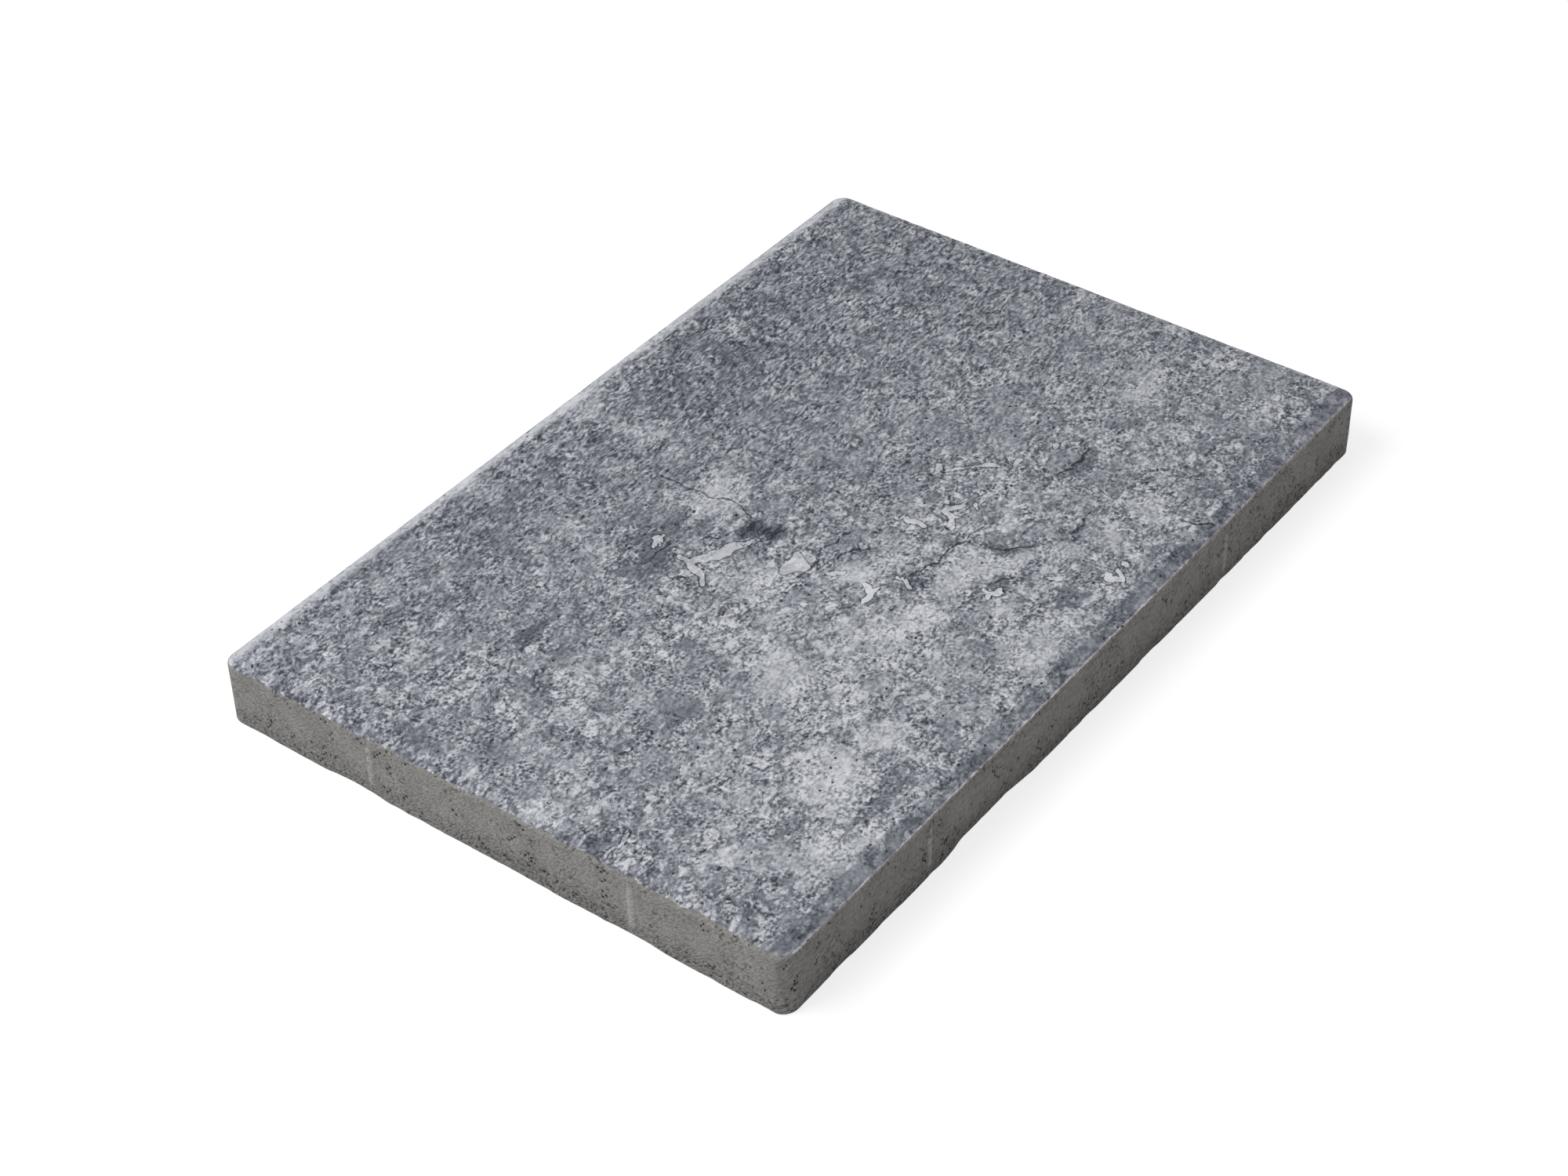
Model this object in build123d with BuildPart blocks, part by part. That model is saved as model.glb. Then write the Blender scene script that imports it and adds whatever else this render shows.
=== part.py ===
from build123d import *
import os

# Cast concrete paving slab: one moulded piece with a stone-look walking face.
# The frame's origin is the middle of the underside, +X along the length, +Z up
# to the walking face. All sizes are in millimetres.

# Body
slab_length = 600.0
slab_width = 400.0
slab_thickness = 45.0
corner_radius = 10.0

# Shoulder: the band round the walking face that slopes down to the arris
shoulder_width = 10.0
shoulder_drop = 1.5
face_corner_radius = 6.0

# Rolled edges at the arris and at the foot
arris_radius = 3.0
foot_radius = 1.5

# Spacer nibs on the four sides, which keep the joint between two laid slabs.
# A place is measured from the middle of its side, to the right as seen from
# outside, and opposite sides are the same.
nib_width = 6.0
nib_reach = 1.0
nib_flank_angle = 60.0
nib_face_gap = 6.0
nib_foot_gap = 5.0
end_nib_places = (-87.0, 98.0)
side_nib_places = (-172.0, 138.0)

# Sizes worked out from the ones above
arris_height = slab_thickness - shoulder_drop
face_length = slab_length - 2 * shoulder_width
face_width = slab_width - 2 * shoulder_width
nib_top = slab_thickness - nib_face_gap
nib_middle = (nib_top + nib_foot_gap) / 2
nib_height = nib_top - nib_foot_gap


with BuildPart() as slab:
    # Straight-sided body, from the foot to the arris
    with BuildSketch():
        RectangleRounded(slab_length, slab_width, corner_radius)
    extrude(amount=arris_height)

    # Shoulder, from the arris in to the flat of the walking face
    with BuildSketch(Plane.XY.offset(arris_height)):
        RectangleRounded(slab_length, slab_width, corner_radius)
    with BuildSketch(Plane.XY.offset(slab_thickness)):
        RectangleRounded(face_length, face_width, face_corner_radius)
    loft(ruled=True)

    # The arris loop is the third level of edges down from the face
    arris = slab.edges().group_by(Axis.Z)[-3]
    fillet(arris, radius=arris_radius)
    foot = slab.edges().group_by(Axis.Z)[0]
    fillet(foot, radius=foot_radius)

    # Nibs with sloping flanks, the same on opposite sides
    for facing in (-1, 1):
        end_side = Plane(
            origin=(facing * slab_length / 2, 0, nib_middle),
            x_dir=(0, facing, 0),
            z_dir=(facing, 0, 0),
        )
        with BuildSketch(end_side):
            with Locations(*[(place, 0) for place in end_nib_places]):
                SlotOverall(nib_height, nib_width, rotation=90)
        extrude(amount=nib_reach, taper=nib_flank_angle)

        long_side = Plane(
            origin=(0, facing * slab_width / 2, nib_middle),
            x_dir=(-facing, 0, 0),
            z_dir=(0, facing, 0),
        )
        with BuildSketch(long_side):
            with Locations(*[(place, 0) for place in side_nib_places]):
                SlotOverall(nib_height, nib_width, rotation=90)
        extrude(amount=nib_reach, taper=nib_flank_angle)

slab.part.label = "slab"
os.makedirs("parts", exist_ok=True)
export_step(slab.part, "parts/slab.step")
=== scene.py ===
import math
import random

import bmesh
import bpy
import numpy as np
from bpy.props import FloatProperty, FloatVectorProperty, IntProperty, PointerProperty
from mathutils import Matrix, Vector, noise


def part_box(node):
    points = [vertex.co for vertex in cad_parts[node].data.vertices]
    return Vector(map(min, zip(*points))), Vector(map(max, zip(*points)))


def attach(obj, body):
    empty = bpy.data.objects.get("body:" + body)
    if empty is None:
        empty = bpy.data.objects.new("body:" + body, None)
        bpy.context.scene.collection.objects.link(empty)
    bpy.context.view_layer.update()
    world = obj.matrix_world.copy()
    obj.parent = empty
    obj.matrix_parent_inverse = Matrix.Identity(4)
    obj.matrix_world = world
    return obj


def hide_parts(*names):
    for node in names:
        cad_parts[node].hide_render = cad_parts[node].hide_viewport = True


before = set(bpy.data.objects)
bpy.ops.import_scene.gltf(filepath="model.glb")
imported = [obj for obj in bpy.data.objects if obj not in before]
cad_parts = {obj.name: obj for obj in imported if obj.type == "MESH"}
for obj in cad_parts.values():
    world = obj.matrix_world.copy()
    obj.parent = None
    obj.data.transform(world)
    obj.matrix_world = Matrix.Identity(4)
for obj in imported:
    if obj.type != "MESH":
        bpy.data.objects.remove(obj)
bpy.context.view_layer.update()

bl_info = {
    "name": "Cast Stone Paving Slab",
    "version": (1, 0, 0),
    "blender": (4, 5, 0),
    "location": "3D Viewport > Sidebar > Paving",
    "description": "Dresses a cast concrete paving slab with a quartzite-look walking face",
    "category": "Add Mesh",
}

# The mesh is worked out in millimetres, with the origin in the middle of the
# underside, and turned into metres when it is finished.
MM = 0.001

# Marks on the walking face: x and y from the middle of the slab
# in millimetres. A patch has its two half-widths, its turn in degrees and its
# change of tone, where 1 is the step from dark grey to white.
PATCHES = (
    # Pale, worn-looking areas
    (-177, -138, 27, 23, 20, 0.15),
    (-128, -68, 21, 18, 0, 0.16),
    (-130, -141, 12, 15, 0, 0.13),
    (-139, -164, 7, 7, 0, 0.15),
    (-212, -185, 22, 7, 0, 0.10),
    (-16, 62, 27, 26, 30, 0.115),
    (-36, -102, 16, 11, 0, 0.12),
    (8, -95, 26, 10, 10, 0.14),
    (22, -106, 18, 10, -30, 0.09),
    (35, -116, 17, 9, -35, 0.14),
    (60, -135, 17, 9, -45, 0.14),
    (85, -150, 18, 8, 20, 0.10),
    (-14, -168, 42, 17, 0, 0.10),
    (-2, -137, 13, 12, 0, 0.09),
    (-71, -133, 11, 9, 0, 0.07),
    (-32, -46, 13, 8, -40, 0.17),
    (-9, -56, 15, 8, -30, 0.16),
    (19, -68, 11, 5, -5, 0.13),
    (-58, -100, 14, 11, -20, 0.07),
    (-31, -103, 7, 8, 0, 0.15),
    (64, -90, 14, 8, 30, 0.10),
    (-196, 24, 26, 18, 20, 0.04),
    (-192, 20, 20, 12, 20, 0.03),
    (-130, 98, 24, 14, 0, 0.04),
    (-70, -10, 20, 10, 0, 0.07),
    (8, 150, 11, 54, 0, 0.09),
    (228, -88, 24, 20, 0, 0.09),
    (126, -160, 13, 16, 0, 0.11),
    (90, -170, 26, 12, 0, 0.05),
    (-232, -166, 30, 12, -30, 0.11),
    (-262, -126, 20, 8, -50, 0.08),
    (-292, -28, 14, 10, -40, 0.15),
    (-257, -13, 4, 4, 0, 0.12),
    (-113, -13, 6, 6, 0, 0.15),
    (-190, -15, 8, 6, 0, 0.12),
    (-100, -46, 4, 4, 0, 0.16),
    (-94, 183, 14, 18, 0, 0.09),
    (8, 186, 22, 12, 0, 0.08),
    (-30, 134, 10, 12, 0, 0.07),
    (-232, 114, 22, 12, 0, 0.05),
    (-72, 14, 22, 22, 0, 0.07),
    (-80, -70, 95, 72, 10, 0.05),
    (-225, -140, 70, 55, 0, 0.025),
    # Dark gouges at the arris
    (-297, -48, 3.2, 2.4, 30, -0.30),
    (-293, -64, 2.6, 4.0, 30, -0.30),
    (-296, -71, 3.0, 2.6, 0, -0.30),
    (-298, -98, 2.6, 2.6, 0, -0.28),
    (-291, -105, 3.2, 2.4, -30, -0.28),
    # Dark, smudged areas
    (-31, 26, 8, 9, 0, -0.40),
    (-27, 13, 10, 7, 0, -0.32),
    (-68, 64, 26, 18, 0, -0.11),
    (-86, 50, 13, 13, 0, -0.09),
    (-43, -50, 8, 5, 0, -0.14),
    (-41, -73, 4, 3, 0, -0.18),
    (-18, -86, 7, 4, 0, -0.18),
    (57, -45, 5, 4, 0, -0.14),
    (41, -101, 6, 7, 20, -0.16),
    (-16, -36, 9, 2, -25, -0.16),
    (-48, -62, 8, 9, 0, -0.10),
    (-19, -85, 15, 7, 0, -0.11),
    (-286, -66, 20, 9, 0, -0.08),
    (-266, -92, 18, 10, 0, -0.06),
    (-181, 73, 18, 5, 0, -0.26),
    (-284, 68, 18, 10, 0, -0.08),
    (117, 142, 92, 48, 0, -0.05),
    (102, 139, 30, 13, 0, -0.04),
    (48, 165, 36, 20, 0, -0.04),
    (-13, 159, 9, 8, 20, -0.15),
    (5, 122, 7, 4, 0, -0.16),
    (134, -95, 26, 8, 0, -0.12),
    (43, -111, 20, 6, -10, -0.12),
    (25, -161, 10, 9, 0, -0.16),
    (8, -122, 14, 7, 0, -0.12),
    (-168, -169, 30, 8, 0, -0.10),
    (-183, -43, 16, 11, 0, -0.13),
    (-120, 152, 32, 26, 0, -0.06),
    (225, 121, 24, 9, 0, -0.09),
    (230, 80, 28, 15, 0, -0.06),
    (264, -100, 10, 62, 0, -0.03),
    (3, 29, 3, 3, 0, -0.22),
    (-275, -153, 26, 22, 0, -0.07),
    (-222, -139, 12, 9, 0, -0.10),
    (40, -3, 40, 14, 10, -0.05),
    (180, -173, 60, 16, 0, -0.06),
)

# A flake is a smooth pale vein: the half-width, the brightness and the run of points.
FLAKES = (
    (3.6, 1.2, ((-82, 29), (-78, 34), (-72, 36), (-65, 31), (-56, 24), (-44, 19))),
    (2.3, 1.2, ((-90, 19), (-82, 29))),
    (2.0, 1.0, ((-72, 38), (-73, 43))),
    (1.8, 1.9, ((-78, 64), (-70, 66))),
    (1.7, 1.9, ((-75, 61), (-73, 69))),
    (4.6, 1.2, ((-46, -12), (-34, -14))),
    (2.5, 1.0, ((-34, -14), (-39, -21))),
    (1.5, 2.0, ((67, -28), (69, -28))),
    (1.5, 1.6, ((63, -67), (66, -67))),
    (1.5, 2.0, ((-32, -82), (-29, -82))),
    (2.3, 1.0, ((-37, -35), (-31, -43))),
    (2.4, 1.6, ((28, -40), (28, -46), (30, -52), (28, -57))),
    (2.2, 1.4, ((27, -50), (31, -49))),
    (2.2, 2.0, ((-33, -60), (-37, -65), (-42, -69))),
    (1.7, 2.0, ((-37, -65), (-32, -67))),
    (2.5, 2.0, ((-18, -72), (-17, -79), (-21, -86))),
    (1.8, 1.4, ((39, -66), (48, -66), (52, -58), (62, -60))),
    (2.4, 0.9, ((79, -30), (86, -31))),
    (1.9, 1.6, ((85, -36), (92, -45), (97, -55), (101, -60))),
    (2.0, 1.2, ((110, -66), (115, -67))),
    (2.3, 0.9, ((130, -17), (133, -17))),
    (2.3, 0.9, ((144, -77), (147, -76))),
    (1.9, 2.0, ((-3, -127), (3, -123), (5, -128), (10, -127))),
    (1.7, 2.0, ((3, -123), (3, -118))),
    (1.8, 2.0, ((53, -170), (56, -177), (61, -171))),
    (1.6, 1.6, ((43, -170), (47, -172))),
    (1.5, 1.6, ((67, -168), (69, -171))),
    (2.1, 1.2, ((94, -151), (98, -153))),
    (1.5, 1.2, ((34, -145), (40, -152))),
    (1.7, 0.9, ((-300, -76), (-288, -74), (-276, -71))),
    (1.7, 1.3, ((-64, -25), (-55, -27))),
)

# A crack is a thin dark line: its strength and the run of points.
CRACKS = (
    (0.8, ((-54, -21), (-46, -22), (-38, -23), (-30, -22), (-14, -20), (0, -18))),
    (0.9, ((-38, -23), (-36, -30), (-26, -33), (-17, -35), (0, -42))),
    (0.6, ((53, -60), (60, -56), (66, -46))),
    (0.7, ((-17, 110), (-18, 90), (-17, 74), (-15, 58), (-17, 50), (-21, 39), (-27, 31))),
    (0.9, ((-10, -78), (0, -81), (12, -82), (25, -81), (37, -83), (50, -80))),
    (0.8, ((107, -90), (117, -92), (137, -92), (157, -90))),
    (0.8, ((-57, 43), (-47, 39), (-38, 32))),
    (0.7, ((-36, -27), (-24, -36), (-13, -36))),
    (1.0, ((130, -178), (131, -196))),
    (1.0, ((272, -181), (272, -191))),
    (0.6, ((-52, 12), (-44, 14), (-36, 12))),
    (0.5, ((-55, 160), (-57, 142), (-61, 134))),
    (0.5, ((80, 170), (96, 178))),
    (0.6, ((67, -133), (90, -128), (104, -131))),
    (0.9, ((36, -99), (46, -107), (59, -119))),
    (1.3, ((-42, 22), (-34, 27), (-25, 30))),
    (1.3, ((-35, 10), (-27, 14), (-19, 10))),
    (1.2, ((-37, 17), (-30, 20), (-21, 19))),
    (1.0, ((-90, 58), (-78, 57), (-68, 54))),
    (0.9, ((-88, 42), (-92, 36), (-86, 30))),
    (0.8, ((10, -118), (17, -122), (26, -129))),
    (0.7, ((-14, -74), (-8, -84), (0, -90))),
)

# Spacer nibs, placed as on the solid: from the middle of the side, to the right
# as seen from outside, and between these two heights, at which they fade out.
# Each flank takes up this share of a nib's width.
END_NIBS = (-87.0, 98.0)
SIDE_NIBS = (-172.0, 138.0)
NIB_TOP = 39.0
NIB_TOP_FADE = 3.0
NIB_FOOT = 5.0
NIB_FOOT_FADE = 4.0
NIB_FLANK = 0.3

# Where the foot is worn back: x and y of the middle, radius and depth
WORN_FOOT = (
    (-112, -200, 48, 2.2),
    (-300, -98, 24, 1.0),
    (-300, 100, 24, 1.0),
    (95, 200, 44, 1.8),
    (300, 60, 30, 1.2),
)

# Pits in the walking face and pores in the sides: how many pits, how many depths
# of each, the deepest of each, the most faces in one pore, the smallest face that
# is sunk, and the least and most that is left of it as a rim
FACE_PITS = 110
PORE_KINDS = 5
DEEPEST_PIT = 0.7
DEEPEST_PORE = 1.4
LONGEST_RUN = 3
SMALLEST_SUNK = 1.8
PORE_RIM = (0.15, 0.45)

# Chips along the arris: how far they lower it and how far they bite in
CHIP_DROP = 0.28
CHIP_BITE = 0.35

# How far off a flake or a crack still matters
MARK_REACH = 6.0

# Mean height at which the skin ends on the arris
SKIN_BORDER = 42.5

# Display tones above the knee are drawn together, and the blue-grey's red, green
# and blue stand off its tone by these shares of its blue
BRIGHT_KNEE = 0.7
BRIGHT_SLOPE = 0.55
BLUE_PARTS = (-0.42, -0.14, 0.58)

# Painted shade: near-black put into the sunk pores and pits, where shade falls
PORE_SHADE_COLOUR = (0.027, 0.027, 0.026, 1.0)
WHITE = (1.0, 1.0, 1.0, 1.0)


def smooth_step(low, high, value):
    """0 below low, 1 above high and an even curve between, for arrays too."""
    share = np.clip((value - low) / (high - low), 0.0, 1.0)
    return share * share * (3.0 - 2.0 * share)


def noise_at(places, size, seed, octaves=3, stretch=(1.0, 1.0, 1.0)):
    """Fractal noise about 0 at each place, with lumps about size millimetres wide."""
    shift = Vector((seed * 17.3, seed * 31.1, seed * 7.7))
    scale = np.array(stretch) * size
    return np.array([
        noise.fractal(Vector(place) + shift, 1.0, 2.0, octaves) for place in places / scale
    ])


def leg_offsets(places, start, end):
    """Distance from a straight leg, and the same measured sideways with its sign."""
    start, end = np.array(start, float), np.array(end, float)
    run = end - start
    reach = places - start
    along = np.clip(reach @ run / (run @ run), 0.0, 1.0)
    away = reach - along[:, None] * run
    side = (reach[:, 0] * run[1] - reach[:, 1] * run[0]) / math.hypot(*run)
    return np.hypot(away[:, 0], away[:, 1]), side


class SlabSettings(bpy.types.PropertyGroup):
    """Sizes and colours of the cast slab"""

    pitch: FloatProperty(
        name="Mesh Pitch", description="Mean spacing of the mesh on the walking face",
        default=1.9 * MM, unit="LENGTH")
    corner_radius: FloatProperty(
        name="Corner Radius", description="Radius of the four upright corners",
        default=10 * MM, unit="LENGTH")
    arris_radius: FloatProperty(
        name="Arris Radius", description="Radius of the rolled edge round the walking face",
        default=3 * MM, unit="LENGTH")
    foot_radius: FloatProperty(
        name="Foot Radius", description="Radius of the edge round the underside",
        default=1.5 * MM, unit="LENGTH")
    shoulder_width: FloatProperty(
        name="Shoulder Width", description="Width of the band that slopes down to the arris",
        default=12 * MM, unit="LENGTH")
    shoulder_drop: FloatProperty(
        name="Shoulder Drop", description="How far the shoulder falls by the arris",
        default=1.3 * MM, unit="LENGTH")
    relief: FloatProperty(
        name="Relief", description="Depth of the riven relief of the walking face",
        default=0.55 * MM, unit="LENGTH")
    nib_reach: FloatProperty(
        name="Nib Reach", description="How far a spacer nib stands out of its side",
        default=1 * MM, unit="LENGTH")
    nib_width: FloatProperty(
        name="Nib Width", description="Width of a spacer nib",
        default=6 * MM, unit="LENGTH")
    pores: IntProperty(
        name="Pores", description="Air pores cast into the four sides", default=200, min=0)
    seed: IntProperty(name="Seed", description="Start of every random draw", default=7)
    face_tone: FloatProperty(
        name="Face Tone", description="Middle tone of the walking face, from black to white",
        default=0.524, min=0.0, max=1.0)
    concrete_colour: FloatVectorProperty(
        name="Concrete", description="Colour of the plain concrete of the sides",
        default=(0.197, 0.192, 0.184), subtype="COLOR", min=0.0, max=1.0)


class StageSettings(bpy.types.PropertyGroup):
    """Floor, light and camera"""

    floor_size: FloatProperty(
        name="Floor Size", description="Side of the square floor", default=8.0, unit="LENGTH")
    lens: FloatProperty(
        name="Lens", description="Focal length on a 36 mm wide sensor", default=70.98,
        unit="CAMERA")
    camera_place: FloatVectorProperty(
        name="Camera Place", description="Where the camera stands",
        default=(-1.1579, -0.8593, 1.1900), subtype="TRANSLATION", unit="LENGTH")
    pitch: FloatProperty(
        name="Pitch", description="How far the camera looks down",
        default=math.radians(39.738), subtype="ANGLE")
    heading: FloatProperty(
        name="Heading", description="Direction of view, from the slab's length",
        default=math.radians(37.395), subtype="ANGLE")
    roll: FloatProperty(
        name="Roll", description="Turn of the camera about its line of sight",
        default=math.radians(1.145), subtype="ANGLE")
    key_power: FloatProperty(
        name="Key Light", description="Power of the large soft lamp", default=180.0,
        unit="POWER")
    sky_strength: FloatProperty(
        name="Sky", description="Strength of the even light all round", default=0.43)


def outline_place(place, core, reach):
    """The point on the rounded outline, reach away from the core rectangle."""
    inner = Vector((
        max(-core[0], min(core[0], place.x)),
        max(-core[1], min(core[1], place.y)),
    ))
    return inner + (place.xy - inner).normalized() * reach


class SlabMaker:
    """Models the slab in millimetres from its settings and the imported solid's box."""

    edge_closeness = 0.2
    nib_pull = (4, 13)
    arris_steps = 4
    foot_steps = 3
    side_pitch = 2.3

    def __init__(self, settings):
        low, high = (Vector(corner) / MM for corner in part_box("slab"))
        self.pitch = settings.pitch / MM
        self.corner = settings.corner_radius / MM
        self.arris = settings.arris_radius / MM
        self.foot = settings.foot_radius / MM
        self.shoulder_width = settings.shoulder_width / MM
        self.shoulder_drop = settings.shoulder_drop / MM
        self.relief = settings.relief / MM
        self.nib_reach = settings.nib_reach / MM
        self.nib_width = settings.nib_width / MM
        self.pores = settings.pores
        self.seed = settings.seed
        self.thickness = high.z
        self.half = (high.x - self.nib_reach, high.y - self.nib_reach)
        self.core = [extent - self.corner for extent in self.half]
        self.arris_top = self.thickness - self.shoulder_drop

    def inset_of(self, places):
        """How far each place lies inside the outline of the sides."""
        over = np.maximum(np.abs(places[:, :2]) - self.core, 0.0)
        outside = np.hypot(over[:, 0], over[:, 1])
        inside = np.max(np.abs(places[:, :2]) - self.core, axis=1)
        return self.corner - np.where(outside > 0, outside, inside)

    def outward(self, places):
        """Level direction out of the nearest side at each place."""
        flat = places[:, :2]
        away = flat - np.clip(flat, -np.array(self.core), self.core)
        length = np.maximum(np.hypot(away[:, 0], away[:, 1]), 1e-9)
        return away / length[:, None]

    def grid_lines(self, count, extent, nibs):
        """Places of the grid's lines along one direction, two of them on each nib's crest."""
        share = np.linspace(-1, 1, count + 1)
        share += self.edge_closeness * np.sin(math.pi * share) / math.pi
        lines = share * (extent - self.arris)
        for middle in sorted((*nibs, *(-place for place in nibs))):
            gaps = (lines[:-1] + lines[1:]) / 2
            off = middle - gaps[np.abs(gaps - middle).argmin()]
            lines += off * (1 - smooth_step(*self.nib_pull, np.abs(lines - middle)))
        return lines

    def lay_face(self, bm):
        """A grid over the walking face, finer near the arris, with rounded corners."""
        steps = [round(2 * extent / self.pitch) for extent in self.half]
        lines = [
            self.grid_lines(count, extent, nibs)
            for count, extent, nibs in zip(steps, self.half, (SIDE_NIBS, END_NIBS))
        ]
        bmesh.ops.create_grid(bm, x_segments=steps[0], y_segments=steps[1], size=1.0)
        for vert in bm.verts:
            place = [
                line[round((part + 1) / 2 * count)]
                for line, part, count in zip(lines, vert.co.xy, steps)
            ]
            over = [abs(part) - core for part, core in zip(place, self.core)]
            if min(over) > 0:
                shrink = max(over) / math.hypot(*over)
                place = [
                    math.copysign(core + part * shrink, sign)
                    for core, part, sign in zip(self.core, over, place)
                ]
            vert.co = (*place, self.thickness)

    def side_rings(self):
        """Reach from the core rectangle and height of each ring, down to the underside."""
        rings = []
        for step in range(1, self.arris_steps + 1):
            turn = math.pi / 2 * step / self.arris_steps
            rings.append((
                self.corner - self.arris * (1 - math.sin(turn)),
                self.arris_top - self.arris * (1 - math.cos(turn)),
            ))
        top = rings[-1][1]
        rows = round((top - self.foot) / self.side_pitch)
        for row in range(1, rows + 1):
            rings.append((self.corner, top + (self.foot - top) * row / rows))
        for step in range(1, self.foot_steps + 1):
            turn = math.pi / 2 * step / self.foot_steps
            rings.append((
                self.corner - self.foot * (1 - math.cos(turn)),
                self.foot * (1 - math.sin(turn)),
            ))
        rings.append((self.corner - 3 * self.foot, 0.0))
        return rings

    def drop_sides(self, bm):
        """Extrudes the sides ring by ring from the edge of the face and closes them below."""
        edges = [edge for edge in bm.edges if edge.is_boundary]
        for reach, height in self.side_rings():
            made = bmesh.ops.extrude_edge_only(bm, edges=edges)["geom"]
            verts = {item for item in made if isinstance(item, bmesh.types.BMVert)}
            for vert in verts:
                vert.co = (*outline_place(vert.co, self.core, reach), height)
            edges = [
                item for item in made
                if isinstance(item, bmesh.types.BMEdge) and verts.issuperset(item.verts)
            ]
        underside = bmesh.ops.contextual_create(bm, geom=edges)["faces"]
        bmesh.ops.triangulate(bm, faces=underside)
        bmesh.ops.recalc_face_normals(bm, faces=bm.faces[:])

    def sort_faces(self, bm):
        """Puts the faces in the order of their vertices, as extruding leaves them in any."""
        bm.verts.index_update()
        ordered = sorted(bm.faces, key=lambda polygon: sorted(vert.index for vert in polygon.verts))
        for number, polygon in enumerate(ordered):
            polygon.index = number
        bm.faces.sort()

    def side_shape(self, places):
        """How far each place on the sides stands out: nibs, waviness and a worn foot."""
        out = self.outward(places)
        height = places[:, 2]
        stands = 0.22 * noise_at(places, 60, self.seed + 1)
        stands += 0.07 * noise_at(places, 9, self.seed + 2)
        on_long_side = np.abs(out[:, 1]) > 0.99
        on_end = np.abs(out[:, 0]) > 0.99
        nib = np.zeros(len(places))
        for on_side, along, middles in (
            (on_long_side, -np.sign(out[:, 1]) * places[:, 0], SIDE_NIBS),
            (on_end, np.sign(out[:, 0]) * places[:, 1], END_NIBS),
        ):
            for middle in middles:
                off = np.abs(along - middle) / self.nib_width
                across = np.clip((0.5 - off) / NIB_FLANK, 0, 1)
                ends = smooth_step(NIB_FOOT, NIB_FOOT + NIB_FOOT_FADE, height)
                ends = ends * (1 - smooth_step(NIB_TOP - NIB_TOP_FADE, NIB_TOP, height))
                nib += on_side * across * ends
        for x, y, radius, depth in WORN_FOOT:
            away = np.hypot(places[:, 0] - x, places[:, 1] - y)
            near = 1 - smooth_step(0.3 * radius, radius, away)
            stands -= depth * near * (1 - smooth_step(2, 16, height))
        low = 1 - smooth_step(0, 9, height)
        stands -= 0.5 * low * smooth_step(-0.1, 0.6, noise_at(places, 22, self.seed + 3))
        return np.minimum(stands + nib * self.nib_reach, self.nib_reach), nib

    def face_relief(self, places, marks):
        """Height of the riven walking face, whose highest point is 0."""
        relief = 0.55 * noise_at(places, 75, self.seed + 4)
        relief += 0.35 * noise_at(places, 17, self.seed + 5, stretch=(1.6, 1, 1))
        relief += 0.24 * noise_at(places, 5.5, self.seed + 6, octaves=2, stretch=(1.9, 1, 1))
        relief += 1.1 * marks["lift"] + 0.45 * smooth_step(-0.8, 0.8, marks["flake"])
        relief -= 0.8 * marks["crack"] * (1 - smooth_step(0.3, 2.2, np.abs(marks["crack_side"])))
        return relief * self.relief

    def arris_chips(self, places, height, inset, out):
        """How much each place is chipped, from 0 to 1; the end towards -X has the most."""
        rim = (inset < self.arris + 2) & (places[:, 2] > self.arris_top - 2 * self.arris)
        chips = np.zeros(len(places))
        chips[rim] = smooth_step(0.20, 0.55, noise_at(places[rim], 6, self.seed + 8, octaves=4))
        chips[rim] *= 1 - 0.6 * np.maximum(np.abs(out[rim, 1]), out[rim, 0])
        chips[rim] *= smooth_step(self.arris_top - 4.5, self.arris_top - 1.5, height[rim])
        chips[rim] *= smooth_step(self.arris + 2, self.arris - 1, inset[rim])
        return chips

    def store(self, bm, name, values):
        """Keeps a number at each vertex, which the material reads as an attribute."""
        layer = bm.verts.layers.float.new(name)
        for vert, value in zip(bm.verts, values):
            vert[layer] = value

    def shape_surface(self, bm):
        """Moves the mesh into the relief of the face, its shoulder, chips and the sides."""
        places = np.array([vert.co for vert in bm.verts])
        inset = self.inset_of(places)
        height = places[:, 2].copy()
        out = self.outward(places)
        face = height > self.arris_top + 0.5 * self.shoulder_drop
        skin = smooth_step(self.arris_top - self.arris, self.arris_top - 0.3, height)
        upper = skin > 0
        marks = face_marks(places[upper])
        relief = np.zeros(len(places))
        relief[upper] = self.face_relief(places[upper], marks)
        relief -= relief[face & (inset > self.shoulder_width)].max()
        band = 1 - smooth_step(self.arris, self.shoulder_width, inset)
        height -= face * self.shoulder_drop * band ** 1.4
        height += skin * relief

        chips = self.arris_chips(places, height, inset, out)
        height -= CHIP_DROP * chips

        lower = places[:, 2] < self.arris_top
        level, nib = np.zeros((2, len(places)))
        level[lower], nib[lower] = self.side_shape(places[lower])
        level *= 1 - smooth_step(self.arris_top - self.arris, self.arris_top - 0.5, places[:, 2])
        level -= CHIP_BITE * chips
        underside = (places[:, 2] < 1e-6) & (inset > self.foot + 0.1)
        level[underside] = 0
        height[places[:, 2] < 1e-6] = 0
        places[:, :2] += out * level[:, None]
        places[:, 2] = height
        for vert, place in zip(bm.verts, places):
            vert.co = place
        self.store(bm, "nib", nib)
        for name, values in marks.items():
            whole = np.zeros(len(places))
            whole[upper] = values
            self.store(bm, name, whole)

    def cast_pores(self, bm):
        """Insets short runs of faces and sinks them, as air pores and pits."""
        chance = random.Random(self.seed)
        # The pore layer marks the sunk faces, which the material fills with painted shade
        layer = bm.verts.layers.float.new("pore")
        sides, face = [], []
        for polygon in bm.faces:
            if len(polygon.verts) != 4 or polygon.calc_area() < SMALLEST_SUNK:
                continue
            middle = polygon.calc_center_median()
            if abs(polygon.normal.z) < 0.3 and 2.5 < middle.z < self.arris_top - self.arris:
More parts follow.
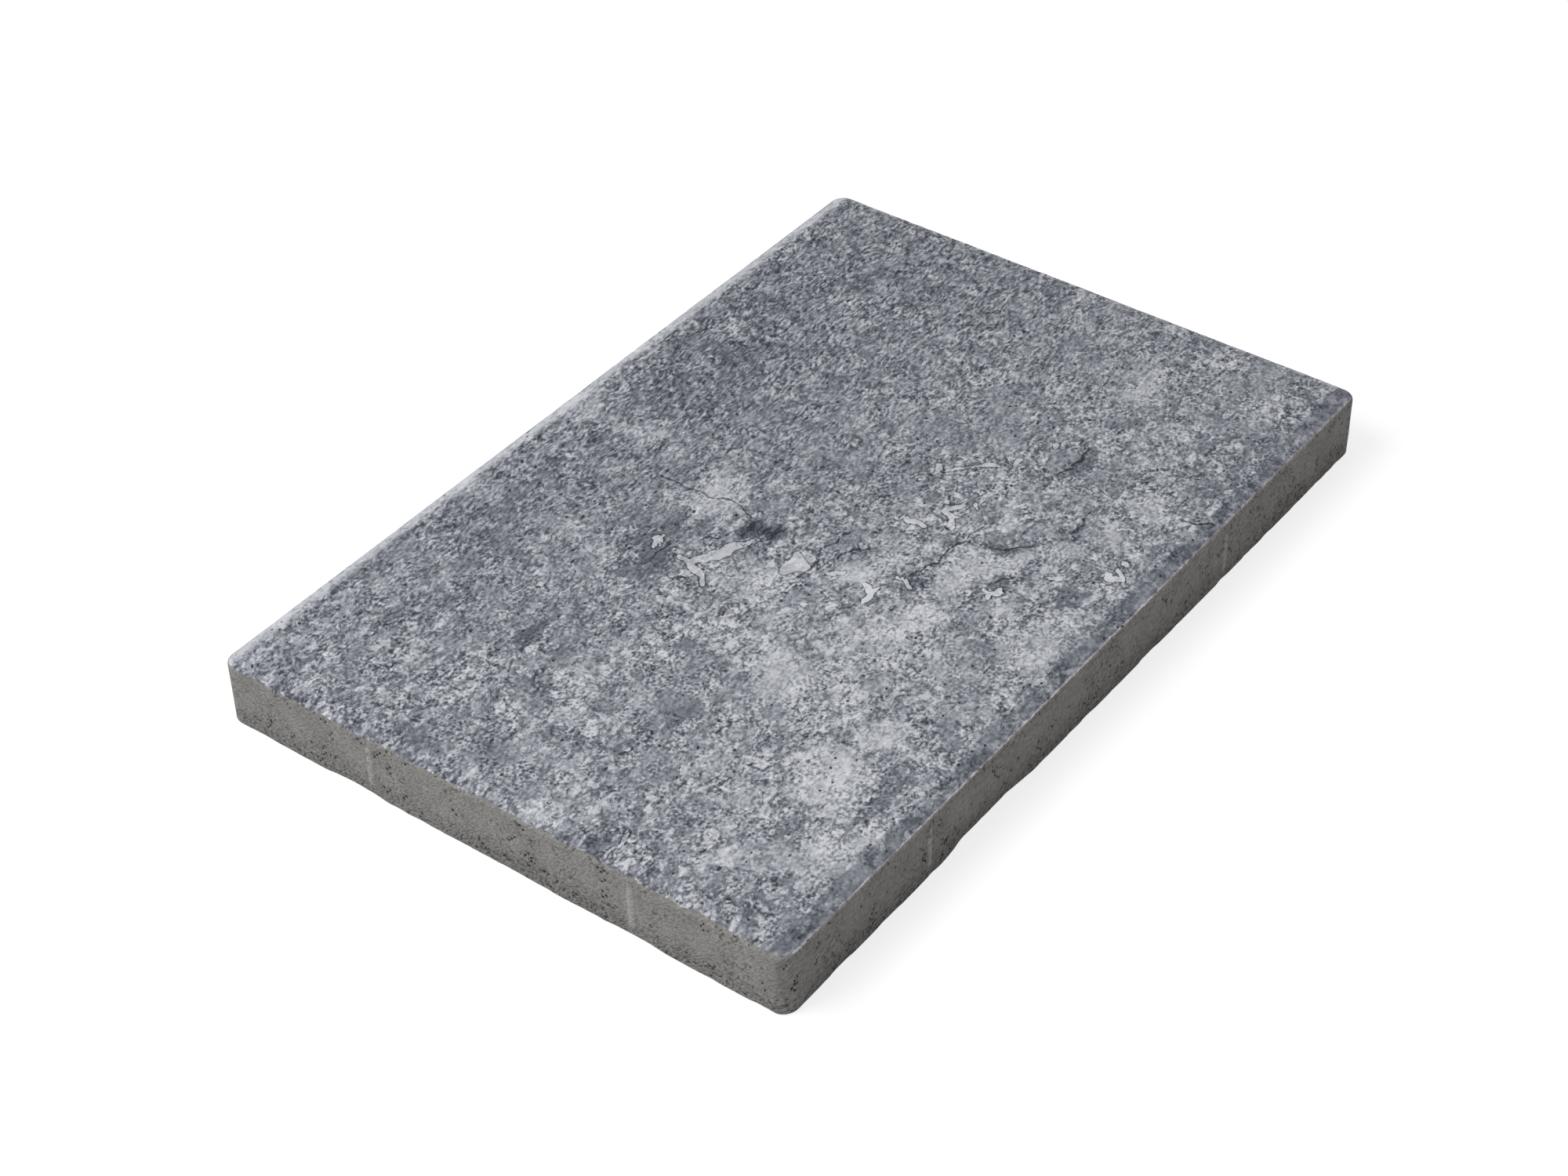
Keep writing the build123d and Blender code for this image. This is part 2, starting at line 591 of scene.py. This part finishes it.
                # Air gathers low down, so most pores are in the lower part
                if chance.random() < 0.25 + 0.75 * math.exp(-middle.z / 14):
                    sides.append(polygon)
            elif polygon.normal.z > 0.8:
                rim = min(self.half[0] - abs(middle.x), self.half[1] - abs(middle.y))
                if chance.random() < 0.1 + 0.9 * math.exp(-rim / 9):
                    face.append(polygon)
        used = set()
        kinds = []
        for polygons, count, deepest, longest in (
            (sides, self.pores, DEEPEST_PORE, LONGEST_RUN), (face, FACE_PITS, DEEPEST_PIT, 1),
        ):
            for part in range(PORE_KINDS):
                group = []
                for polygon in chance.sample(polygons, count // PORE_KINDS):
                    run = self.pore_run(polygon, chance.randint(1, longest), chance)
                    if not used.intersection(run):
                        used.update(run)
                        group += run
                depth = -deepest * (part + 1) / PORE_KINDS
                kinds.append((group, depth, chance.uniform(*PORE_RIM)))
        for group, depth, thickness in kinds:
            bmesh.ops.inset_individual(
                bm, faces=group, thickness=thickness, depth=depth, use_even_offset=True)
            for polygon in group:
                for vert in polygon.verts:
                    vert[layer] = 1.0

    def pore_run(self, polygon, length, chance):
        """A broken run of faces that touch each other at their corners."""
        run = [polygon]
        while len(run) < length:
            beside = {other for edge in run[-1].edges for other in edge.link_faces}
            near = {other for vert in run[-1].verts for other in vert.link_faces}
            near = [
                other for other in sorted(near - beside, key=lambda item: item.index)
                if other not in run and len(other.verts) == 4
                and other.normal.dot(polygon.normal) > 0.95
            ]
            if not near:
                break
            run.append(chance.choice(near))
        return run

    def make(self):
        """The finished bmesh, still in millimetres."""
        bm = bmesh.new()
        self.lay_face(bm)
        self.drop_sides(bm)
        self.shape_surface(bm)
        self.sort_faces(bm)
        bm.normal_update()
        self.cast_pores(bm)
        return bm


def face_marks(places):
    """Fields of the listed marks at each place, in tone or in millimetres."""
    flat = places[:, :2].copy()
    for size, reach, seed in ((28, 7.0, 20), (9, 2.4, 22)):
        flat[:, 0] += reach * noise_at(places, size, seed)
        flat[:, 1] += reach * noise_at(places, size, seed + 1)
    lift = np.zeros(len(places))
    for x, y, half_x, half_y, turn, tone in PATCHES:
        cos = math.cos(math.radians(turn))
        sin = math.sin(math.radians(turn))
        run = flat[:, 0] - x
        rise = flat[:, 1] - y
        far = np.hypot((run * cos + rise * sin) / half_x, (rise * cos - run * sin) / half_y)
        lift += tone * (1 - smooth_step(0.5, 1.25, far))
    flake = np.full(len(places), -MARK_REACH)
    gleam = np.ones(len(places))
    for half_width, brightness, route in FLAKES:
        for start, end in zip(route, route[1:]):
            inside = half_width - leg_offsets(flat, start, end)[0]
            gleam = np.where(inside > flake, brightness, gleam)
            flake = np.maximum(flake, inside)
    nearest = np.full(len(places), 1e3)
    crack = np.zeros(len(places))
    crack_side = np.zeros(len(places))
    for strength, route in CRACKS:
        ends = np.array([route[0], route[-1]], float)
        for start, end in zip(route, route[1:]):
            away, side = leg_offsets(flat, start, end)
            closer = away < nearest
            nearest = np.where(closer, away, nearest)
            to_end = np.min([np.hypot(*(flat - point).T) for point in ends], axis=0)
            here = strength * smooth_step(0.5, 5.0, to_end) * (1 - smooth_step(3, 5, away))
            crack = np.where(closer, here, crack)
            sideways = np.copysign(np.minimum(away, MARK_REACH), side)
            crack_side = np.where(closer, sideways, crack_side)
    speckled = smooth_step(190, -60, places[:, 1] + 0.55 * places[:, 0])
    return {
        "lift": lift, "flake": flake, "gleam": gleam, "crack": crack,
        "crack_side": crack_side, "speckled": speckled,
    }


class Wire:
    """A shader value: arithmetic on it adds Math nodes."""

    def __init__(self, shader, socket):
        self.shader = shader
        self.socket = socket

    def output(self, name):
        """Another output of the same node."""
        return Wire(self.shader, self.socket.node.outputs[name])

    def math(self, operation, first, second):
        return self.shader.node(
            "ShaderNodeMath", {"operation": operation}, {0: first, 1: second})

    def __add__(self, other):
        return self.math("ADD", self, other)

    def __radd__(self, other):
        return self.math("ADD", other, self)

    def __sub__(self, other):
        return self.math("SUBTRACT", self, other)

    def __rsub__(self, other):
        return self.math("SUBTRACT", other, self)

    def __mul__(self, other):
        return self.math("MULTIPLY", self, other)

    def __rmul__(self, other):
        return self.math("MULTIPLY", other, self)

    def __abs__(self):
        return self.shader.node("ShaderNodeMath", {"operation": "ABSOLUTE"}, {0: self})

    def larger(self, other):
        return self.math("MAXIMUM", self, other)


class Shader:
    """The nodes of a material or a world under construction."""

    def __init__(self, owner):
        owner.use_nodes = True
        self.owner = owner
        self.tree = owner.node_tree
        self.tree.nodes.clear()

    def node(self, kind, settings=None, values=None, out=0):
        """Adds a node: its settings, then its values or links; returns one output."""
        made = self.tree.nodes.new(kind)
        for name, setting in (settings or {}).items():
            if name == "stops":
                self.set_stops(made.color_ramp.elements, setting)
            else:
                setattr(made, name, setting)
        for name, value in (values or {}).items():
            if isinstance(value, Wire):
                self.tree.links.new(value.socket, made.inputs[name])
            else:
                made.inputs[name].default_value = value
        return Wire(self, made.outputs[out]) if made.outputs else None

    def set_stops(self, elements, stops):
        """Gives a colour ramp its stops, each a position and a colour."""
        for spare in elements[1:]:
            elements.remove(spare)
        for number, (position, colour) in enumerate(stops):
            stop = elements.new(position) if number else elements[0]
            stop.position = position
            stop.color = (*colour, 1.0)

    def lumps(self, where, size, detail=1.0, roughness=0.5):
        """Noise about 0 with lumps about size millimetres wide."""
        return self.node("ShaderNodeTexNoise", {}, {
            "Vector": where, "Scale": 1 / size, "Detail": detail, "Roughness": roughness,
        }) - 0.5

    def cells(self, where, size, out="Distance"):
        """Distance to the middle of the nearest of many scattered cells."""
        return self.node("ShaderNodeTexVoronoi", {}, {"Vector": where, "Scale": 1 / size}, out=out)

    def pushed(self, where, size, reach):
        """Places pushed about by noise, so that a pattern on them wanders."""
        push = self.node("ShaderNodeTexNoise", {}, {
            "Vector": where, "Scale": 1 / size, "Detail": 2.0,
        }, out="Color")
        return self.node("ShaderNodeVectorMath", {"operation": "MULTIPLY_ADD"}, {
            0: push, 1: (reach, reach, reach), 2: where,
        })

    def drawn_out(self, where, degrees, stretch):
        """Places on which a pattern comes out stretched in one level direction."""
        return self.node("ShaderNodeMapping", {"vector_type": "TEXTURE"}, {
            "Vector": where, "Rotation": (0, 0, math.radians(degrees)), "Scale": (stretch, 1, 1),
        })

    def step(self, value, low, high):
        """0 at low, 1 at high, with an even curve between."""
        if low > high:
            return 1 - self.step(value, high, low)
        return self.node("ShaderNodeMapRange", {"interpolation_type": "SMOOTHSTEP"}, {
            "Value": value, "From Min": low, "From Max": high,
        })

    def mark(self, name):
        """A number stored at each point of the mesh."""
        return self.node("ShaderNodeAttribute", {"attribute_name": name}, out="Fac")

    def blend(self, share, first, second):
        """A colour between two others."""
        return self.node("ShaderNodeMix", {"data_type": "RGBA"}, {
            0: share, 6: first, 7: second,
        }, out=2)


def linear(tone):
    """The light that a display tone stands for."""
    return tone / 12.92 if tone <= 0.04045 else ((tone + 0.055) / 1.055) ** 2.4


def stone_stops():
    """Blue-grey at each display tone; the blue fades and the tones crowd towards white."""
    stops = []
    for tone in (0.2, 0.3, 0.4, 0.5, 0.6, 0.7, 0.8, 0.9):
        blue = 0.058 - 0.036 * tone
        shown = min(tone, BRIGHT_KNEE + BRIGHT_SLOPE * (tone - BRIGHT_KNEE))
        stops.append((tone, tuple(linear(shown + part * blue) for part in BLUE_PARTS)))
    return stops


class StoneShader(Shader):
    """The cast stone: a riven blue-grey skin over plain warm grey concrete.

    Tones run from 0 for black to 1 for white, heights are in millimetres.
    """

    def __init__(self, settings):
        super().__init__(bpy.data.materials.new("cast_stone"))
        self.settings = settings
        place = self.node("ShaderNodeTexCoord", out="Object")
        self.mm = self.node(
            "ShaderNodeVectorMath", {"operation": "SCALE"}, {0: place, "Scale": 1 / MM})
        self.x = self.node("ShaderNodeSeparateXYZ", {}, {0: self.mm}, out="X")
        self.y = self.x.output("Y")
        self.z = self.x.output("Z")
        self.bent = self.pushed(self.mm, 16, 7)
        self.along = self.drawn_out(self.bent, 13, 1.5)
        self.streaked = self.drawn_out(self.bent, 6, 2.5)
        self.read_marks()

    def read_marks(self):
        """The listed marks, with edges that wander a little."""
        self.lift = self.mark("lift")
        self.speckled = self.mark("speckled")
        self.sunk = (0 - self.lift).larger(0)
        self.risen = self.lift.larger(0)
        edges = 0.30 * self.lumps(self.bent, 8, 3.0)
        self.plateau = self.step(self.risen + edges, 0.055, 0.085)
        self.pool = self.step(self.sunk + edges, 0.060, 0.100)
        ragged = self.mark("flake") + 1.4 * self.lumps(self.mm, 6)
        ragged = ragged + 1.6 * self.lumps(self.mm, 2.2, 2.0)
        self.flake = self.step(ragged, -0.1, 0.3)
        self.flake_rim = (1 - self.flake) * self.step(ragged, -1.0, -0.3)
        line = abs(self.mark("crack_side") + 1.8 * self.lumps(self.mm, 2.6, 2.0))
        line = self.step(line + 1.8 * self.lumps(self.mm, 5), 1.1, 0.3)
        self.crack = self.mark("crack") * line
        # Bands along the -Y and +Y shoulders of the face, which carry painted shade and painted
        # highlight
        self.near_shade_band = self.step(self.y + 9 * self.lumps(self.mm, 30), -186.5, -189.5)
        self.far_lit_band = self.step(self.y + 7 * self.lumps(self.mm, 40), 188.5, 196)

    def skin_mottle(self):
        """Tone and height of light and dark mottling, with pale islands and dark flecks."""
        busy = self.step(self.lumps(self.bent, 42, 2.0) + 0.10 * self.speckled, -0.06, 0.10)
        field = 0.50 * self.lumps(self.bent, 17, 2.0, roughness=0.6) + 0.7 * self.lift
        fine = (0.6 + 0.4 * busy) * self.lumps(self.along, 3.6, 2.5, roughness=0.62)
        level = self.step(field + fine, -0.10, 0.10)

        distance = self.cells(self.drawn_out(self.pushed(self.mm, 4.5, 9), 6, 1.4), 6)
        size = self.node("ShaderNodeSeparateColor", {}, {0: distance.output("Color")}, out="Red")
        islands = distance - 0.48 * size - 0.10 * busy - 0.3 * self.lift
        islands = islands - 0.5 * self.lumps(self.bent, 24)
        paler = self.step(islands, 0.02, -0.02)
        outline = self.step(islands, 0.13, 0.05) * (1 - paler)

        squiggle = self.step(abs(self.lumps(self.along, 5.5, 1.5)), 0.030, 0.014)
        flecks = self.lumps(self.along, 3.2, 2.0) - 0.3 * self.sunk + 0.4 * self.risen
        darker = self.step(flecks, -0.120, -0.145)

        tone = 0.18 * (level - 0.5) + (0.03 + 0.13 * self.speckled) * paler - 0.04 * outline
        tone = tone - 0.11 * darker
        tone = (0.55 + 0.45 * busy - 0.3 * self.plateau) * tone + 0.06 * busy * squiggle
        return tone, 0.10 * level + 0.06 * paler - 0.10 * darker

    def skin_grain(self):
        """The finest grain, which gets coarser in places, and its worm-like part alone."""
        worm = self.step(self.lumps(self.along, 1.9), -0.15, 0.15) - 0.5
        streak = self.step(self.lumps(self.streaked, 2.0, 1.5), -0.16, 0.16) - 0.5
        speck = self.step(self.lumps(self.mm, 2.1, 0.8), -0.14, 0.14) - 0.5
        coarse = self.step(
            self.lumps(self.bent, 13, 2.0) + 0.08 * self.lumps(self.bent, 60), -0.10, 0.12)
        grain = (0.09 - 0.02 * self.speckled) * worm + (0.03 + 0.10 * self.speckled) * speck
        grain = grain + (0.145 - 0.095 * self.speckled) * streak
        grain = (1.25 - 0.50 * self.speckled + (0.75 + 0.50 * self.speckled) * coarse) * grain
        return grain, worm

    def edge_bands(self):
        """Change of tone in the bands along the edges of the face: a pale rubbed line, with painted
        highlight and painted shade where the shoulders and arris turn to or from the lamp.
        """
        shadowed = self.near_shade_band * self.step(self.y, -198.4, -197.6)
        rubbed = self.step(self.y + 3.2 * self.lumps(self.mm, 7, 3.0), -197.8, -198.6)
        # A pale rubbed line along the -Y arris, and painted highlight on the +Y shoulder, which
        # faces the lamp; partly the print's paler band as well
        tone = (0.05 + 0.14 * self.step(self.x, 180, 0)) * rubbed + 0.24 * self.far_lit_band
        # Painted shade on the -Y shoulder, which slopes away from the lamp; partly the print's own
        # darker band as well
        tone = tone - (0.10 + 0.45 * self.lumps(self.mm, 12, 2.0)) * shadowed
        # Painted shade: darker towards the back, for light that falls brighter on the front; and a
        # lighter strip along the +X edge
        tone = tone - 0.04 * self.step(self.y, -150, 170) + 0.07 * self.step(self.x, 294.5, 298)
        # Painted shade on the -X arris, which turns towards the lamp
        return tone - 0.03 * self.step(self.x, -294, -298)

    def skin(self):
        """Colour, height and change of roughness of the walking face."""
        mottle, mottle_height = self.skin_mottle()
        grain, worm = self.skin_grain()

        # Scattered spots, of which some are pits and some are glints
        distance = self.cells(self.along, 9)
        kind = self.node("ShaderNodeSeparateColor", {}, {0: distance.output("Color")}, out="Green")
        spot = self.step(distance + 0.05 * kind, 0.125, 0.095)
        glint = self.step(kind, 0.78, 0.80)
        pits = spot * (1 - glint)

        calm = (1 - 0.5 * self.flake) * (1 - 0.4 * self.near_shade_band)
        calm = calm * (1 - 0.35 * self.pool) * (1 - 0.5 * self.far_lit_band)
        streaks = (0.30 - 0.18 * self.speckled) * self.lumps(self.streaked, 4.5, 2.0)
        tone = self.settings.face_tone + 0.22 * self.risen - 0.20 * self.sunk
        tone = tone + 0.06 * self.plateau - 0.05 * self.pool
        tone = tone + 0.04 * self.lumps(self.bent, 48, 2.0) + 0.10 * self.lumps(self.bent, 20, 2.0)
        tone = tone + calm * (mottle + grain + streaks)
        tone = tone + 0.16 * self.mark("gleam") * self.flake - 0.22 * self.flake_rim
        tone = tone - 0.34 * self.crack - 0.34 * pits + 0.24 * spot * glint + self.edge_bands()
        colour = self.node("ShaderNodeValToRGB", {"stops": stone_stops()}, {0: tone}, out="Color")

        height = calm * (0.5 * grain + mottle_height)
        height = height + 0.14 * self.flake - 0.5 * self.crack - 0.5 * pits
        return colour, height, 0.05 * worm - 0.06 * self.flake

    def concrete(self):
        """Colour and height of the sides: clouds, slanting sand, torn pores, a stippled foot and a
        painted highlight on the nibs.
        """
        low = self.step(self.z, 22, 5)
        dragged = self.node("ShaderNodeMapping", {}, {"Vector": self.mm, "Scale": (1, 1, 0.15)})
        leaning = self.node("ShaderNodeVectorMath", {"operation": "MULTIPLY_ADD"}, {
            0: self.node("ShaderNodeCombineXYZ", {}, {"X": self.z, "Y": self.z}),
            1: (-0.7, 0.7, 0), 2: self.mm,
        })
        slanting = self.node("ShaderNodeMapping", {}, {"Vector": leaning, "Scale": (1, 1, 0.6)})
        sand = self.lumps(slanting, 1.7, 1.5, roughness=0.6)
        grit = self.step(self.lumps(self.mm, 1.1), -0.12, 0.12) - 0.5
        stipple = self.step(self.lumps(slanting, 2.2), 0.06, 0.12)

        # Torn pores: short broken seams and scattered holes
        seam = self.step(abs(self.lumps(self.mm, 8)), 0.026, 0.010)
        seam = seam * self.step(self.lumps(self.mm, 2.2), -0.01, 0.04)
        seam = seam * self.step(self.lumps(self.mm, 30), 0.02, 0.06)
        holes = self.cells(self.mm, 6) + 0.5 * self.lumps(self.mm, 25)
        torn = seam.larger(self.step(holes, 0.13, 0.09))

        shade = 1 + 0.50 * self.lumps(self.mm, 18, 3.0) + 0.20 * self.lumps(dragged, 4, 2.0)
        shade = shade + (1.40 + 0.5 * low) * sand + 0.12 * grit
        shade = shade - 0.30 * stipple * (0.15 + 0.85 * low) - 0.12 * low - 0.48 * torn
        # Painted highlight along each spacer nib's crest, standing in for its lit flank; it is also
        # meant as a rubbed, paler crest
        shade = shade + 0.42 * self.step(self.mark("nib"), 0.1, 0.9)
        colour = self.node("ShaderNodeVectorMath", {"operation": "SCALE"}, {
            0: tuple(self.settings.concrete_colour), "Scale": shade,
        })
        return colour, 0.55 * sand - 0.12 * stipple * low - 0.5 * torn

    def skin_cover(self):
        """1 where the skin covers the concrete; it ends on the arris in a ragged line."""
        end_side = self.step(abs(self.x), 292, 298)
        border = SKIN_BORDER - 0.9 * end_side * self.step(self.y, -60, 200) + 0.3 * end_side
        border = border + (0.5 + 1.3 * end_side) * self.lumps(self.mm, 12, 3.0)
        border = border + (0.5 + 0.6 * end_side) * self.lumps(self.mm, 2.0)
        return self.step(self.z - border, -0.2, 0.2)

    def finish(self):
        """Joins the skin and the concrete into the finished material."""
        cover = self.skin_cover()
        skin_colour, skin_height, skin_sheen = self.skin()
        concrete_colour, concrete_height = self.concrete()
        colour = self.blend(cover, concrete_colour, skin_colour)
        # Painted shade in the sunk pores and pits
        colour = self.blend(self.step(self.mark("pore"), 0.4, 0.85), colour, PORE_SHADE_COLOUR)
        height = skin_height * cover + concrete_height * (1 - cover)
        surface = self.node("ShaderNodeBsdfPrincipled", {}, {
            "Base Color": colour,
            "Roughness": 0.92 - 0.14 * cover + skin_sheen * cover,
            "Normal": self.node("ShaderNodeBump", {}, {
                "Strength": 1.0, "Distance": MM, "Height": height,
            }),
            "Specular IOR Level": 0.35,
        })
        self.node("ShaderNodeOutputMaterial", {}, {"Surface": surface})
        return self.owner


def floor_material():
    """Pale floor that the camera sees as white, with the slab's shadow on it."""
    sh = Shader(bpy.data.materials.new("studio_floor"))
    camera_ray = sh.node("ShaderNodeLightPath", out="Is Camera Ray")
    direct = camera_ray.larger(camera_ray.output("Is Glossy Ray"))
    paper = sh.node("ShaderNodeBsdfDiffuse", {}, {"Color": (0.8, 0.8, 0.8, 1.0)}, out="BSDF")
    shaded = sh.node("ShaderNodeBsdfDiffuse", {}, {"Color": (0.28, 0.28, 0.28, 1.0)}, out="BSDF")
    glow = sh.node("ShaderNodeEmission", {}, {"Color": WHITE, "Strength": 0.77})
    seen = sh.node("ShaderNodeAddShader", {}, {0: shaded, 1: glow})
    surface = sh.node("ShaderNodeMixShader", {}, {0: direct, 1: paper, 2: seen})
    sh.node("ShaderNodeOutputMaterial", {}, {"Surface": surface})
    return sh.owner


def add_object(name, data):
    """Links a new object into the scene."""
    made = bpy.data.objects.new(name, data)
    bpy.context.scene.collection.objects.link(made)
    return made


def add_floor(size):
    """A square floor at the level the slab lies on."""
    bm = bmesh.new()
    bmesh.ops.create_grid(bm, x_segments=1, y_segments=1, size=size / 2)
    mesh = bpy.data.meshes.new("studio_floor")
    bm.to_mesh(mesh)
    bm.free()
    mesh.materials.append(floor_material())
    add_object("studio_floor", mesh)


def add_sky(strength):
    """Even light from all round, which the camera sees as white."""
    world = bpy.data.worlds.new("studio")
    bpy.context.scene.world = world
    sh = Shader(world)
    camera_ray = sh.node("ShaderNodeLightPath", out="Is Camera Ray")
    light = sh.node("ShaderNodeBackground", {}, {"Color": WHITE, "Strength": strength})
    seen = sh.node("ShaderNodeBackground", {}, {"Color": WHITE, "Strength": 1.0})
    surface = sh.node("ShaderNodeMixShader", {}, {0: camera_ray, 1: light, 2: seen})
    sh.node("ShaderNodeOutputWorld", {}, {"Surface": surface})


def add_key_light(power):
    """A large soft lamp high on the left of the picture."""
    lamp = bpy.data.lights.new("key", "AREA")
    lamp.shape = "SQUARE"
    lamp.size = 2.6
    lamp.energy = power
    holder = add_object("key", lamp)
    azimuth = math.radians(145)
    elevation = math.radians(52)
    distance = 4.6
    towards = Vector((
        math.cos(azimuth) * math.cos(elevation),
        math.sin(azimuth) * math.cos(elevation),
        math.sin(elevation),
    ))
    holder.location = towards * distance
    holder.rotation_euler = (-towards).to_track_quat("-Z", "Y").to_euler()


def add_camera(stage):
    """The camera, at the angle the slab is seen from."""
    camera = bpy.data.cameras.new("camera")
    camera.lens = stage.lens
    camera.sensor_width = 36.0
    camera.clip_start = 0.05
    camera.clip_end = 100.0
    holder = add_object("camera", camera)
    forward = Vector((
        math.cos(stage.heading) * math.cos(stage.pitch),
        math.sin(stage.heading) * math.cos(stage.pitch),
        -math.sin(stage.pitch),
    ))
    right = Vector((math.sin(stage.heading), -math.cos(stage.heading), 0.0))
    upright = Matrix((right, right.cross(forward), -forward)).transposed()
    turned = upright @ Matrix.Rotation(-stage.roll, 3, "Z")
    holder.matrix_world = Matrix.Translation(stage.camera_place) @ turned.to_4x4()
    bpy.context.scene.camera = holder


class PAVING_OT_cast_slab(bpy.types.Operator):
    """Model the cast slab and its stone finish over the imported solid"""

    bl_idname = "paving.cast_slab"
    bl_label = "Cast Slab"

    def execute(self, context):
        settings = context.scene.paving_slab
        bm = SlabMaker(settings).make()
        bmesh.ops.scale(bm, vec=(MM, MM, MM), verts=bm.verts)
        mesh = bpy.data.meshes.new("cast_slab")
        bm.to_mesh(mesh)
        bm.free()
        mesh.polygons.foreach_set("use_smooth", [True] * len(mesh.polygons))
        mesh.materials.append(StoneShader(settings).finish())
        slab = add_object("cast_slab", mesh)
        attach(slab, "root")
        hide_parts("slab")
        return {"FINISHED"}


class PAVING_OT_set_stage(bpy.types.Operator):
    """Lay the floor, hang the lights and place the camera"""

    bl_idname = "paving.set_stage"
    bl_label = "Set Stage"

    def execute(self, context):
        stage = context.scene.paving_stage
        context.scene.view_settings.view_transform = "Standard"
        add_floor(stage.floor_size)
        add_sky(stage.sky_strength)
        add_key_light(stage.key_power)
        add_camera(stage)
        return {"FINISHED"}


class PAVING_PT_tools(bpy.types.Panel):
    """The slab and its stage in the 3D view's sidebar"""

    bl_idname = "PAVING_PT_tools"
    bl_label = "Paving Slab"
    bl_space_type = "VIEW_3D"
    bl_region_type = "UI"
    bl_category = "Paving"

    def draw(self, context):
        for group, operator in (
            (context.scene.paving_slab, PAVING_OT_cast_slab),
            (context.scene.paving_stage, PAVING_OT_set_stage),
        ):
            box = self.layout.box()
            for name in group.__annotations__:
                box.prop(group, name)
            box.operator(operator.bl_idname)


CLASSES = (
    SlabSettings, StageSettings, PAVING_OT_cast_slab, PAVING_OT_set_stage, PAVING_PT_tools,
)


def register():
    for item in CLASSES:
        bpy.utils.register_class(item)
    bpy.types.Scene.paving_slab = PointerProperty(type=SlabSettings)
    bpy.types.Scene.paving_stage = PointerProperty(type=StageSettings)


def unregister():
    del bpy.types.Scene.paving_stage
    del bpy.types.Scene.paving_slab
    for item in reversed(CLASSES):
        bpy.utils.unregister_class(item)


def main():
    register()
    bpy.ops.paving.cast_slab()
    bpy.ops.paving.set_stage()


if __name__ == "__main__":
    main()
